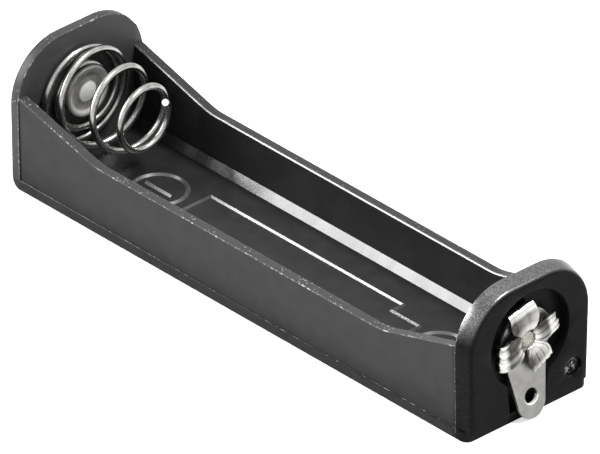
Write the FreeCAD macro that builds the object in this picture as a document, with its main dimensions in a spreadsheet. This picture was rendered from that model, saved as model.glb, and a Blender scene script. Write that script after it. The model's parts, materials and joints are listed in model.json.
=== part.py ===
import FreeCAD, Part

import math
import os
import re

import Sketcher

# A holder for one small cylindrical cell: a black moulded tray with a dipped side on each hand,
# an arched wall at each end, a conical contact spring riveted to the thin wall, a button contact
# riveted to the thick wall, and a solder lug under each rivet's rolled outer end.
# Millimetres. The origin is the middle of the underside, +X runs to the button contact's end,
# +Y across the tray and +Z up, out of the tray's open top.

# Every size that can be set by itself, in millimetres, degrees or turns.
SIZES = (
    # The tray's foot
    ("foot_length", 52.2),
    ("foot_width", 13.0),
    ("foot_height", 0.9),
    ("foot_corner", 0.75),
    ("foot_heel_land", 0.05),
    # The side walls and the bay between them
    ("wall_step", 0.12),
    ("wall_draft", 1.4),
    ("wall_thickness", 0.85),
    ("wall_height", 6.05),
    ("shoulder_height", 8.45),
    ("dip_length", 32.8),
    ("dip_softening", 6.0),
    ("floor_thickness", 1.5),
    ("floor_bevel_width", 0.5),
    ("floor_bevel_height", 0.7),
    # The arched end walls
    ("arch_height", 12.5),
    ("arch_corner", 4.8),
    ("spring_end_thickness", 0.85),
    ("contact_end_thickness", 1.5),
    ("contact_end_overhang", 0.25),
    ("contact_end_taper", 14.0),
    ("contact_end_rounding", 0.4),
    # The round recess, the lug's channel and the dimple in the thick end's outer face
    ("contact_axis", 6.85),
    ("recess_height", 7.1),
    ("recess_radius", 4.15),
    ("recess_depth", 0.9),
    ("channel_left", 2.05),
    ("channel_right", 1.6),
    ("channel_lean", 7.0),
    ("dimple_radius", 0.85),
    ("dimple_depth", 0.3),
    ("dimple_side", 4.65),
    ("dimple_height", 2.55),
    # The rivets
    ("rivet_radius", 1.1),
    ("rivet_bore", 0.8),
    ("rivet_floor", 0.25),
    ("rivet_clearance", 0.05),
    ("button_radius", 2.1),
    ("button_height", 0.6),
    ("button_flat", 1.1),
    ("flange_radius", 2.2),
    ("flange_height", 0.28),
    ("flange_edge", 0.12),
    ("flange_dish_radius", 1.75),
    ("flange_dish_depth", 0.15),
    ("flange_boss_radius", 1.05),
    ("flange_boss_height", 0.15),
    ("flare_start", 0.1),
    ("flare_radius", 0.5),
    ("petal_count", 4),
    ("petal_width", 2.0),
    ("petal_reach", 3.15),
    ("petal_curl", 0.15),
    ("petal_tip_gap", 0.4),
    ("petal_turn", 14.0),
    # The solder lugs
    ("lug_thickness", 0.4),
    ("lug_head_radius", 2.65),
    ("lug_reach", 6.8),
    ("lug_root_width", 4.4),
    ("lug_bend_drop", 1.4),
    ("lug_tip_radius", 1.45),
    ("lug_lean", 11.0),
    ("lug_hole_radius", 0.65),
    ("lug_hole_drop", 5.0),
    # The contact spring
    ("wire_diameter", 0.57),
    ("spring_clearance", 0.05),
    ("spring_length", 7.75),
    ("spring_base_radius", 4.12),
    ("spring_tip_radius", 2.5),
    ("spring_taper_power", 1.5),
    ("spring_base_drop", 0.3),
    ("spring_tip_lift", 0.2),
    ("spring_spiral_turns", 1.75),
    ("spring_base_turns", 0.25),
    ("spring_active_turns", 2.98),
    ("spring_end_turns", 0.47),
    ("spring_start_angle", -140.0),
    ("spring_ease_in", 0.25),
    ("spring_ease_out", 0.22),
)
NAMES = {name for name, _ in SIZES}

# How finely the spring's path is followed, and how many flats stand for its wire's round section
POINTS_PER_TURN = 16
WIRE_FLATS = 8

# The steps in degrees in which a rivet's mouth is rolled outwards
ROLL_STEPS = (0, 30, 60, 90)

# Places that several pieces share, as expressions of the sizes above
SPRING_FACE = "(-foot_length / 2)"
SPRING_WALL = "(-foot_length / 2 + spring_end_thickness)"
CONTACT_FACE = "(foot_length / 2 + contact_end_overhang)"
CONTACT_WALL = "(foot_length / 2 + contact_end_overhang - contact_end_thickness)"
RECESS_FLOOR = "(foot_length / 2 + contact_end_overhang - recess_depth)"
WEB_THICKNESS = "(contact_end_thickness - recess_depth)"
BEVEL_TOP = "(floor_thickness + floor_bevel_height)"
SPRING_SEAT = "(wire_diameter + 2 * spring_clearance)"
PETAL_METAL = "(rivet_radius - rivet_bore)"

document = FreeCAD.newDocument("CellHolder")
sheet = document.addObject("Spreadsheet::Sheet", "Sizes")
for row, (size_name, size_value) in enumerate(SIZES, start=1):
    sheet.set(f"A{row}", size_name)
    sheet.set(f"B{row}", str(size_value))
    sheet.setAlias(f"B{row}", size_name)
document.recompute()


def value(expression):
    """The number that an expression of the sizes comes to."""
    return float(sheet.evalExpression(expression))


def bound(expression):
    """The same expression, with each size's name pointing at the sheet."""
    return re.sub(r"[a-z][a-z_]*", lambda word: f"Sizes.{word[0]}" if word[0] in NAMES else word[0], expression)


def bind(feature, **expressions):
    """Tie each named property of a feature to its expression."""
    for prop, expression in expressions.items():
        feature.setExpression(prop.replace("__", "."), bound(expression))


def half_width(step, height):
    """Half the tray's width at a height, on a face that stands back from the foot by a step."""
    return f"(foot_width / 2 - {step} + ({height}) * tan(wall_draft * 1deg))"


def corner_centre(start, end, radius, side):
    """Centre of the short arc from start to end, on its left for side 1 and its right for -1."""
    chord = end - start
    middle = (start + end) * 0.5
    rise = math.sqrt(max(radius**2 - (chord.Length / 2) ** 2, 0.0))
    left = FreeCAD.Vector(-chord.y, chord.x, 0)
    left.normalize()
    return middle + left * rise * side


def draw(sketch, corners):
    """Draw a closed outline whose corners, and arc radii, are expressions of the sizes.

    A corner is (across, up) or (across, up, radius, side): with a radius, the edge from that
    corner to the next is an arc whose centre lies on its left for side 1, on its right for -1.
    """
    first = sketch.GeometryCount
    points = [FreeCAD.Vector(value(corner[0]), value(corner[1]), 0) for corner in corners]
    ends = []
    for index, corner in enumerate(corners):
        start, end = points[index], points[(index + 1) % len(points)]
        if len(corner) == 2:
            sketch.addGeometry(Part.LineSegment(start, end), False)
            ends.append((1, 2))
            continue
        radius, side = value(corner[2]), corner[3]
        centre = corner_centre(start, end, radius, side)
        circle = Part.Circle(centre, FreeCAD.Vector(0, 0, 1), radius)
        begin, finish = (start, end) if side > 0 else (end, start)
        angles = [math.atan2(point.y - centre.y, point.x - centre.x) for point in (begin, finish)]
        sketch.addGeometry(Part.ArcOfCircle(circle, angles[0], angles[1]), False)
        ends.append((1, 2) if side > 0 else (2, 1))
    for index, corner in enumerate(corners):
        edge, after = first + index, first + (index + 1) % len(corners)
        joined = (edge, ends[index][1], after, ends[(index + 1) % len(corners)][0])
        sketch.addConstraint(Sketcher.Constraint("Coincident", *joined))
        for kind, text in (("DistanceX", corner[0]), ("DistanceY", corner[1])):
            fixed = sketch.addConstraint(Sketcher.Constraint(kind, edge, ends[index][0], value(text)))
            sketch.setExpression(f"Constraints[{fixed}]", bound(text))
        if len(corner) > 2:
            fixed = sketch.addConstraint(Sketcher.Constraint("Radius", edge, value(corner[2])))
            sketch.setExpression(f"Constraints[{fixed}]", bound(corner[2]))


def ring(sketch, across, up, radius):
    """Draw a circle at a place, both given as expressions."""
    centre = FreeCAD.Vector(value(across), value(up), 0)
    circle = sketch.addGeometry(Part.Circle(centre, FreeCAD.Vector(0, 0, 1), value(radius)), False)
    sizes = (("DistanceX", across, (circle, 3)), ("DistanceY", up, (circle, 3)), ("Radius", radius, (circle,)))
    for kind, text, place in sizes:
        fixed = sketch.addConstraint(Sketcher.Constraint(kind, *place, value(text)))
        sketch.setExpression(f"Constraints[{fixed}]", bound(text))


def make_body(name):
    """A new body, named and labelled as the piece."""
    body = document.addObject("PartDesign::Body", name)
    body.Label = name
    return body


def sketch_on(body, name, plane, offset="0", rise="0", tilt="0"):
    """A sketch on one of the body's own origin planes.

    It is set off along the plane's normal, moved up in the plane, and then tilted by some degrees
    about its own line across.
    """
    sketch = body.newObject("Sketcher::SketchObject", f"{body.Name}_{name}")
    origin_plane = next(item for item in body.Origin.OriginFeatures if item.Role == plane)
    sketch.AttachmentSupport = [(origin_plane, "")]
    sketch.MapMode = "FlatFace"
    tilted = FreeCAD.Rotation(FreeCAD.Vector(1, 0, 0), value(tilt))
    sketch.AttachmentOffset = FreeCAD.Placement(FreeCAD.Vector(0, 0, 0), tilted)
    bind(sketch, AttachmentOffset__Base__y=rise, AttachmentOffset__Base__z=offset)
    return sketch


def pad(body, name, sketch, length, symmetric=False, taper="0"):
    """Add a sketch's outline to the body, along the sketch's normal or both ways.

    With a taper, the outline narrows by that many degrees on its way.
    """
    feature = body.newObject("PartDesign::Pad", f"{body.Name}_{name}")
    feature.Profile = sketch
    feature.SideType = "Symmetric" if symmetric else "One side"
    bind(feature, Length=length, TaperAngle=f"-{taper} * 1deg")
    document.recompute()
    return feature


def pocket(body, name, sketch, length, symmetric=False):
    """Cut a sketch's outline out of the body, against the sketch's normal or both ways."""
    before = body.Shape.Volume
    feature = body.newObject("PartDesign::Pocket", f"{body.Name}_{name}")
    feature.Profile = sketch
    feature.SideType = "Symmetric" if symmetric else "One side"
    bind(feature, Length=length)
    document.recompute()
    if not body.Shape.Volume < before:
        raise RuntimeError(f"{feature.Name} cuts nothing")
    return feature


def soften(body, name, radius, wanted):
    """Round the edges of the body whose middle point passes a test."""
    base = body.Tip
    chosen = []
    for index, edge in enumerate(base.Shape.Edges, start=1):
        middle = edge.valueAt((edge.FirstParameter + edge.LastParameter) / 2)
        along = edge.tangentAt((edge.FirstParameter + edge.LastParameter) / 2)
        if wanted(middle, along):
            chosen.append(f"Edge{index}")
    feature = body.newObject("PartDesign::Fillet", f"{body.Name}_{name}")
    feature.Base = (base, chosen)
    bind(feature, Radius=radius)
    document.recompute()
    return feature


def near(first, second):
    """Whether two lengths are the same place."""
    return abs(first - second) < 1e-4


def arch_outline(low):
    """An end wall's outline from a low height up, rounded into its flat top."""
    draft = "(wall_draft * 1deg)"
    centre_height = "(arch_height - arch_corner)"
    centre = f"({half_width('0', centre_height)} - arch_corner / cos{draft})"
    side = f"({centre} + arch_corner * cos{draft})"
    side_height = f"({centre_height} - arch_corner * sin{draft})"
    return (
        (f"-{half_width('0', low)}", low),
        (half_width("0", low), low),
        (side, side_height, "arch_corner", 1),
        (centre, "arch_height"),
        (f"-{centre}", "arch_height", "arch_corner", 1),
        (f"-{side}", side_height),
    )


def on_arch(middle, along):
    """The thick end wall's outer edge, up its sides and over its arch."""
    return near(middle.x, value(CONTACT_FACE)) and middle.z > value("2 * foot_height")


def on_heel(middle, along):
    """The foot's lower edge at the spring's end."""
    return near(middle.x, value(SPRING_FACE)) and near(middle.z, 0)


def on_contact_corner(middle, along):
    """The foot's upright edges at the contact's end."""
    return abs(along.z) > 0.99 and middle.x > 0


def at_dip_end(middle, along):
    """The short edges across the walls' tops where the dip starts to rise."""
    across = abs(along.y) > 0.99
    return across and near(middle.z, value("wall_height")) and near(abs(middle.x), value("dip_length / 2"))


def make_holder_body():
    """The moulded tray: foot, drafted walls with a dip, arched ends, recess, channel and holes."""
    body = make_body("holder_body")

    sketch = sketch_on(body, "foot_outline", "XY_Plane")
    draw(sketch, (
        ("-foot_length / 2", "-foot_width / 2"),
        ("foot_length / 2", "-foot_width / 2"),
        ("foot_length / 2", "foot_width / 2"),
        ("-foot_length / 2", "foot_width / 2"),
    ))
    pad(body, "foot", sketch, "foot_height")
    soften(body, "foot_corners", "foot_corner", on_contact_corner)
    soften(body, "foot_heel", "foot_height - foot_heel_land", on_heel)

    sketch = sketch_on(body, "walls_outline", "YZ_Plane", SPRING_WALL)
    draw(sketch, (
        (f"-{half_width('wall_step', 'foot_height')}", "foot_height"),
        (half_width("wall_step", "foot_height"), "foot_height"),
        (half_width("wall_step", "shoulder_height"), "shoulder_height"),
        (f"-{half_width('wall_step', 'shoulder_height')}", "shoulder_height"),
    ))
    pad(body, "walls", sketch, f"{CONTACT_WALL} - {SPRING_WALL}")

    inner = f"({half_width('wall_step', BEVEL_TOP)} - wall_thickness)"
    inner_top = f"({half_width('wall_step', 'arch_height')} - wall_thickness)"
    sketch = sketch_on(body, "bay_outline", "YZ_Plane", CONTACT_WALL)
    draw(sketch, (
        (f"-({inner} - floor_bevel_width)", "floor_thickness"),
        (f"{inner} - floor_bevel_width", "floor_thickness"),
        (inner, BEVEL_TOP),
        (inner_top, "arch_height"),
        (f"-{inner_top}", "arch_height"),
        (f"-{inner}", BEVEL_TOP),
    ))
    pocket(body, "bay", sketch, f"{CONTACT_WALL} - {SPRING_WALL}")

    sketch = sketch_on(body, "dip_outline", "XZ_Plane")
    draw(sketch, (
        (SPRING_WALL, "shoulder_height"),
        ("-dip_length / 2", "wall_height"),
        ("dip_length / 2", "wall_height"),
        (CONTACT_WALL, "shoulder_height"),
        (CONTACT_WALL, "arch_height"),
        (SPRING_WALL, "arch_height"),
    ))
    pocket(body, "dip", sketch, "2 * foot_width", symmetric=True)
    soften(body, "dip_ends", "dip_softening", at_dip_end)

    sunk = "(foot_height - (contact_end_thickness - contact_end_overhang) * tan(contact_end_taper * 1deg))"
    for name, plane, low, thickness, taper in (
        ("spring_end", SPRING_FACE, "foot_height", "spring_end_thickness", "0"),
        ("contact_end", CONTACT_WALL, sunk, "contact_end_thickness", "contact_end_taper"),
    ):
        sketch = sketch_on(body, f"{name}_outline", "YZ_Plane", plane)
        draw(sketch, arch_outline(low))
        pad(body, name, sketch, thickness, taper=taper)
    soften(body, "contact_end_edges", "contact_end_rounding", on_arch)

    sketch = sketch_on(body, "recess_outline", "YZ_Plane", CONTACT_FACE)
    ring(sketch, "0", "recess_height", "recess_radius")
    pocket(body, "recess", sketch, "recess_depth")
    widening = "((recess_height - foot_height) * tan(channel_lean * 1deg))"
    sketch = sketch_on(body, "channel_outline", "YZ_Plane", CONTACT_FACE)
    draw(sketch, (
        ("-channel_left", "foot_height"),
        ("channel_right", "foot_height"),
        (f"channel_right + {widening}", "recess_height"),
        (f"-channel_left - {widening}", "recess_height"),
    ))
    pocket(body, "channel", sketch, "recess_depth")
    sketch = sketch_on(body, "dimple_outline", "YZ_Plane", CONTACT_FACE)
    ring(sketch, "dimple_side", "dimple_height", "dimple_radius")
    pocket(body, "dimple", sketch, "dimple_depth")
    for name, plane, thickness in (
        ("contact_hole", RECESS_FLOOR, WEB_THICKNESS),
        ("spring_hole", SPRING_WALL, "spring_end_thickness"),
    ):
        sketch = sketch_on(body, f"{name}_outline", "YZ_Plane", plane)
        ring(sketch, "0", "contact_axis", "rivet_radius + rivet_clearance")
        pocket(body, name, sketch, thickness)
    return body


def rolled(radius, centre):
    """The corners of a rivet's mouth where it rolls outwards about a ring at a radius of its own."""
    return [
        (f"flare_start + {radius} * sin({turn}deg)", f"{centre} - {radius} * cos({turn}deg)")
        for turn in ROLL_STEPS
    ]


def make_rivet(name, grip, head):
    """A rivet along X whose rolled petals start at x = 0 and whose head's underside is at -grip.

    The head is a run of corners from the axis out to the underside's rim.
    """
    body = make_body(name)
    flare_back = "(flare_start + flare_radius)"
    flare_front = f"({flare_back} + {PETAL_METAL})"
    root = "(rivet_radius + flare_radius)"
    collar = f"sqrt({root}^2 + (petal_width / 2)^2)"
    curl_start = f"(petal_reach - petal_curl - {PETAL_METAL})"

    sketch = sketch_on(body, "turned_outline", "XZ_Plane")
    draw(sketch, head + (
        (f"-{grip}", "rivet_radius"),
        *rolled("flare_radius", root),
        (flare_back, collar),
        (flare_front, collar),
        *reversed(rolled(f"(flare_radius + {PETAL_METAL})", root)),
        (f"-{grip} + rivet_floor", "rivet_bore"),
        (f"-{grip} + rivet_floor", "0"),
    ))
    turned = body.newObject("PartDesign::Revolution", f"{name}_turned")
    turned.Profile = sketch
    turned.ReferenceAxis = (sketch, ["H_Axis"])
    turned.Angle = 360
    document.recompute()

    sketch = sketch_on(body, "petal_outline", "XZ_Plane")
    draw(sketch, (
        (flare_back, root),
        (flare_back, curl_start, "petal_curl", 1),
        (f"{flare_back} - petal_curl", f"petal_reach - {PETAL_METAL}"),
        ("petal_tip_gap", f"petal_reach - {PETAL_METAL}"),
        ("petal_tip_gap", "petal_reach"),
        (f"{flare_back} - petal_curl", "petal_reach", f"petal_curl + {PETAL_METAL}", -1),
        (flare_front, curl_start),
        (flare_front, root),
    ))
    petal = pad(body, "petal", sketch, "petal_width", symmetric=True)
    petals = body.newObject("PartDesign::PolarPattern", f"{name}_petals")
    petals.Originals = [petal]
    petals.Axis = (sketch, ["H_Axis"])
    petals.Angle = 360
    bind(petals, Occurrences="petal_count")
    body.Tip = petals
    document.recompute()
    return body


def button_head(grip):
    """The corners of the domed contact button, from its middle to its underside's rim."""
    dome = "(button_height^2 + (button_radius - button_flat)^2) / (2 * button_height)"
    return (
        (f"-{grip} - button_height", "0"),
        (f"-{grip} - button_height", "button_flat", dome, -1),
        (f"-{grip}", "button_radius"),
    )


def flange_head(grip):
    """The corners of the dished flange that clamps the spring, with a low boss in its middle."""
    top = f"(-{grip} - flange_height)"
    dish = f"({top} + flange_dish_depth)"
    boss = "(flange_boss_height^2 + flange_boss_radius^2) / (2 * flange_boss_height)"
    return (
        (f"{dish} - flange_boss_height", "0", boss, -1),
        (dish, "flange_boss_radius"),
        (dish, "flange_dish_radius"),
        (top, "flange_dish_radius + flange_dish_depth"),
        (top, "flange_radius - flange_edge"),
        (f"{top} + flange_edge", "flange_radius"),
        (f"-{grip}", "flange_radius"),
    )


def make_lug(name):
    """A solder lug in the plane x = 0, its inner face there: round head, leaning tongue, holes."""
    body = make_body(name)
    sketch = sketch_on(body, "bent_strip_outline", "XZ_Plane")
    lean = "(lug_reach - lug_bend_drop) * tan(lug_lean * 1deg)"
    draw(sketch, (
        ("0", "lug_head_radius"),
        ("0", "-lug_bend_drop"),
        (lean, "-lug_reach"),
        (f"{lean} + lug_thickness", "-lug_reach"),
        ("lug_thickness", "-lug_bend_drop"),
        ("lug_thickness", "lug_head_radius"),
    ))
    pad(body, "bent_strip", sketch, "2 * lug_head_radius", symmetric=True)

    root = "sqrt(lug_head_radius^2 - (lug_root_width / 2)^2)"
    tip = "(lug_reach - lug_tip_radius)"
    margin = "(lug_head_radius + lug_thickness)"
    far = f"({lean} + 2 * lug_thickness)"
    sketch = sketch_on(body, "trimming_outline", "YZ_Plane", far)
    draw(sketch, (
        ("lug_root_width / 2", f"-{root}", "lug_head_radius", 1),
        ("0", "lug_head_radius", "lug_head_radius", 1),
        ("-lug_root_width / 2", f"-{root}"),
        ("-lug_tip_radius", f"-{tip}", "lug_tip_radius", 1),
        ("0", "-lug_reach", "lug_tip_radius", 1),
        ("lug_tip_radius", f"-{tip}"),
    ))
    draw(sketch, (
        (f"-{margin}", "-lug_reach - lug_thickness"),
        (margin, "-lug_reach - lug_thickness"),
        (margin, margin),
        (f"-{margin}", margin),
    ))
    pocket(body, "trimming", sketch, f"{far} + lug_thickness")

    sketch = sketch_on(body, "rivet_hole_outline", "YZ_Plane", far)
    ring(sketch, "0", "0", "rivet_radius + rivet_clearance")
    pocket(body, "rivet_hole", sketch, f"{far} + lug_thickness")
    hole_seat = "(lug_hole_drop - lug_bend_drop) * tan(lug_lean * 1deg)"
    sketch = sketch_on(body, "wire_hole_outline", "YZ_Plane", hole_seat, "-lug_hole_drop", "-lug_lean")
    ring(sketch, "0", "0", "lug_hole_radius")
    pocket(body, "wire_hole", sketch, "4 * lug_thickness", symmetric=True)
    return body


def eased(share, ease_in, ease_out):
    """How far along a rise is at a share of its run, when it starts and stops gently."""
    speed = 1 / (1 - ease_in / 2 - ease_out / 2)
    if share < ease_in:
        return speed * share**2 / (2 * ease_in)
    if share > 1 - ease_out:
        return 1 - speed * (1 - share) ** 2 / (2 * ease_out)
    return speed * (share - ease_in / 2)


def spring_points():
    """Points along the middle of the wire, from the end clamped by the rivet to the free tip.

    The wire spirals outwards flat on the wall, closes one flat turn, climbs as a narrowing coil
    and ends in a flat turn that the cell presses on.
    """
    wire = value("wire_diameter")
    inner = value("rivet_radius + wire_diameter / 2 + 2 * spring_clearance")
    base, tip = value("spring_base_radius"), value("spring_tip_radius")
    spiral, flat = value("spring_spiral_turns"), value("spring_base_turns")
    active, last = value("spring_active_turns"), value("spring_end_turns")
    seat = value("spring_clearance") + wire / 2
    climb = value("spring_length") - wire / 2 - seat
    drop, lift = value("spring_base_drop"), value("spring_tip_lift")
    total = spiral + flat + active + last
    steps = math.ceil(POINTS_PER_TURN * total)
    points = []
    for step in range(steps + 1):
        turns = total * step / steps
        wound = min(turns / spiral, 1.0)
        share = min(max((turns - spiral - flat) / active, 0.0), 1.0)
        rise = eased(share, value("spring_ease_in"), value("spring_ease_out"))
        radius = inner + (base - inner) * wound - (base - tip) * share ** value("spring_taper_power")
        angle = math.radians(value("spring_start_angle")) + 2 * math.pi * turns
        centre = (drop + lift) * rise - drop * wound
        points.append(FreeCAD.Vector(
            seat + climb * rise,
            radius * math.cos(angle),
            centre + radius * math.sin(angle),
        ))
    return points


def make_spring(name):
    """The conical contact spring, a wire swept along its path from the wall at x = 0."""
    curve = Part.BSplineCurve()
    curve.interpolate(spring_points())
    start, direction = curve.value(curve.FirstParameter), curve.tangent(curve.FirstParameter)[0]
    across = direction.cross(FreeCAD.Vector(1, 0, 0)).normalize()
    corners = []
    for flat in range(WIRE_FLATS + 1):
        turned = FreeCAD.Rotation(direction, 360 * flat / WIRE_FLATS).multVec(across)
        corners.append(start + turned * value("wire_diameter / 2"))
    path = Part.Wire(curve.toShape())
    feature = document.addObject("Part::Feature", name)
    feature.Label = name
    feature.Shape = path.makePipeShell([Part.makePolygon(corners)], True, True)
    return feature


def place(piece, across, turn_about_z=0.0, roll="0"):
    """Seat a piece at a place along X on the contacts' axis, turned to face its own end."""
    facing = FreeCAD.Rotation(FreeCAD.Vector(0, 0, 1), turn_about_z)
    rolled = FreeCAD.Rotation(FreeCAD.Vector(1, 0, 0), value(roll))
    seat = FreeCAD.Vector(value(across), 0, value("contact_axis"))
    piece.Placement = FreeCAD.Placement(seat, facing.multiply(rolled))
    if not piece.isDerivedFrom("Part::Feature") or piece.isDerivedFrom("PartDesign::Body"):
        bind(piece, Placement__Base__x=across, Placement__Base__z="contact_axis")


def check_document():
    """Stop if any object of the document failed."""
    for item in document.Objects:
        if {"Invalid", "Error"} & set(item.State):
            raise RuntimeError(f"{item.Name} failed: {item.State}")


def main():
    """Build every piece, seat it, check it and write its file."""
    contact_grip = f"({WEB_THICKNESS} + lug_thickness)"
    spring_grip = f"(spring_end_thickness + lug_thickness + {SPRING_SEAT})"
    tray = make_holder_body()
    spring = make_spring("contact_spring")
    contact_rivet = make_rivet("positive_rivet", contact_grip, button_head(contact_grip))
    spring_rivet = make_rivet("negative_rivet", spring_grip, flange_head(spring_grip))
    contact_lug = make_lug("positive_solder_lug")
    spring_lug = make_lug("negative_solder_lug")

    place(spring, SPRING_WALL)
    place(contact_lug, RECESS_FLOOR)
    place(contact_rivet, f"{RECESS_FLOOR} + lug_thickness", roll="petal_turn")
    place(spring_lug, SPRING_FACE, turn_about_z=180.0)
    place(spring_rivet, f"{SPRING_FACE} - lug_thickness", turn_about_z=180.0, roll="petal_turn")
    document.recompute()
    check_document()

    os.makedirs("parts", exist_ok=True)
    for piece in (tray, spring, contact_rivet, spring_rivet, contact_lug, spring_lug):
        shape = piece.Shape
        if shape.isNull() or not shape.isValid() or len(shape.Solids) != 1:
            raise RuntimeError(f"{piece.Label} is not one valid solid")
        shape.exportStep(f"parts/{piece.Label}.step")
        box = shape.BoundBox
        print(f"{piece.Label}: {shape.Volume:.2f} mm3, x {box.XMin:.2f} to {box.XMax:.2f},"
              f" y {box.YMin:.2f} to {box.YMax:.2f}, z {box.ZMin:.2f} to {box.ZMax:.2f}")


main()
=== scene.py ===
"""Looks of a holder for one small cylindrical cell.

A black moulded tray, a conical contact spring, two star-rolled rivets and two solder lugs, dressed
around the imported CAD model. Everything is in metres in the CAD model's own frame: the origin is the
middle of the underside, +X runs to the thick end with the button contact, +Z is up.
"""

import json
import logging
import math
from dataclasses import dataclass
from enum import Enum
from typing import Callable, Sequence

import bmesh
import bpy
import numpy as np
from mathutils import Matrix, Vector


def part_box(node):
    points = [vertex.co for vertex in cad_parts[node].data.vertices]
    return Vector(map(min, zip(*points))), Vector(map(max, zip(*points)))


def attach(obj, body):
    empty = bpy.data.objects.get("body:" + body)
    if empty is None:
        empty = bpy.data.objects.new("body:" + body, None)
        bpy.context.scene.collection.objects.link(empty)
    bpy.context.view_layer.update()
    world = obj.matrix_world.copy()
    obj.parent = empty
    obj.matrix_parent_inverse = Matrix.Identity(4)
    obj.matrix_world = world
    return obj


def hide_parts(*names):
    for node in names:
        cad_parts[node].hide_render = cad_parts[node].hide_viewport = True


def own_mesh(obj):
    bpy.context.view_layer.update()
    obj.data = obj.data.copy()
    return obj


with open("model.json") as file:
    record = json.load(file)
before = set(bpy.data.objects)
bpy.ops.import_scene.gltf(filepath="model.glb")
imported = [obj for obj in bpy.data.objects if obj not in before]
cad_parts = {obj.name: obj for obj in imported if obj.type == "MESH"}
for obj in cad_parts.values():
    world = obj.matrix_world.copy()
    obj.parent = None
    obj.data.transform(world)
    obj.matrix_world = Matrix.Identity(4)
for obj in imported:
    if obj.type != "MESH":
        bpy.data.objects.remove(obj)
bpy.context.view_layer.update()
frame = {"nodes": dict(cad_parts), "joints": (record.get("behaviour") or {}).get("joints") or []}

MM = 0.001
# The name of the petals' mesh attribute of painted shade and highlight
PAINTED_SHADE = "painted_shade"

# Where the rivets' axis and the thin wall's inner face lie, and what the spring's rivet clamps
RIVET_HEIGHT = 6.85 * MM
SPRING_WALL = -25.25 * MM
THIN_WALL = 0.85 * MM
LUG_METAL = 0.4 * MM
CLAMPED_WIRE = 0.67 * MM

# Where the contact's rivet sits on its lug's outer face, and how much metal and wall it clamps
CONTACT_SEAT = 25.85 * MM
CONTACT_GRIP = 1.0 * MM

# How near two points of a new mesh and of the CAD mesh lie when they are one
SAME_POINT = 0.0001 * MM
SAME_CAD_POINT = 0.02 * MM

log = logging.getLogger("cell_holder")


class Body(Enum):
    """The CAD bodies that pieces ride on."""

    HOLDER = "holder"
    SPRING = "spring"


class Slot(Enum):
    """The record's material slots."""

    TRAY = "tray_plastic"
    WIRE = "spring_wire"
    RIVET = "rivet_metal"
    LUG = "lug_metal"


class Zone(Enum):
    """Kinds of surface on the tray, each the name of a face attribute that its plastic reads. Lit tops and
    the rubbed and lit edges are painted paler, as painted light.
    """

    TOP = "worn_top"
    STRIP = "polished_strip"
    EDGE = "eased_edge"
    RUBBED_AND_LIT = "rubbed_edge"
    PALE = "pale_wall"


# Node trees


class Term:
    """One number in a node tree; arithmetic on it adds Math nodes to the tree."""

    def __init__(self, tree: bpy.types.NodeTree, socket: bpy.types.NodeSocket) -> None:
        """Wrap an output socket of a tree."""
        self.tree = tree
        self.socket = socket

    @staticmethod
    def calculate(tree: bpy.types.NodeTree, operation: str, *values: "Term | float") -> "Term":
        """Add one Math node.

        Args:
            tree: The tree that gets the node.
            operation: Blender's name of the operation.
            values: Its inputs, as terms or plain numbers.

        Returns:
            The node's result.
        """
        node = tree.nodes.new("ShaderNodeMath")
        node.operation = operation
        for slot, value in zip(node.inputs, values):
            if isinstance(value, Term):
                tree.links.new(value.socket, slot)
            else:
                slot.default_value = value
        return Term(tree, node.outputs[0])

    def apply(self, operation: str, *others: "Term | float") -> "Term":
        """The result of an operation whose first input is this term."""
        return Term.calculate(self.tree, operation, self, *others)

    def __add__(self, other: "Term | float") -> "Term":
        """The sum."""
        return self.apply("ADD", other)

    def __radd__(self, other: float) -> "Term":
        """The sum, with a plain number first."""
        return self.apply("ADD", other)

    def __sub__(self, other: "Term | float") -> "Term":
        """The difference."""
        return self.apply("SUBTRACT", other)

    def __rsub__(self, other: float) -> "Term":
        """A plain number less this term."""
        return Term.calculate(self.tree, "SUBTRACT", other, self)

    def __mul__(self, other: "Term | float") -> "Term":
        """The product."""
        return self.apply("MULTIPLY", other)

    def __rmul__(self, other: float) -> "Term":
        """The product, with a plain number first."""
        return self.apply("MULTIPLY", other)

    def __truediv__(self, other: "Term | float") -> "Term":
        """The quotient."""
        return self.apply("DIVIDE", other)

    def __pow__(self, other: "Term | float") -> "Term":
        """The power."""
        return self.apply("POWER", other)

    def held(self, low: float, high: float) -> "Term":
        """This term, kept between two numbers."""
        return self.apply("MAXIMUM", low).apply("MINIMUM", high)

    def between(self, low: float, high: float) -> "Term":
        """0 below the low number, 1 above the high one, and a smooth step between them."""
        share = ((self - low) / (high - low)).held(0.0, 1.0)
        return share * share * (3.0 - 2.0 * share)


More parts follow.
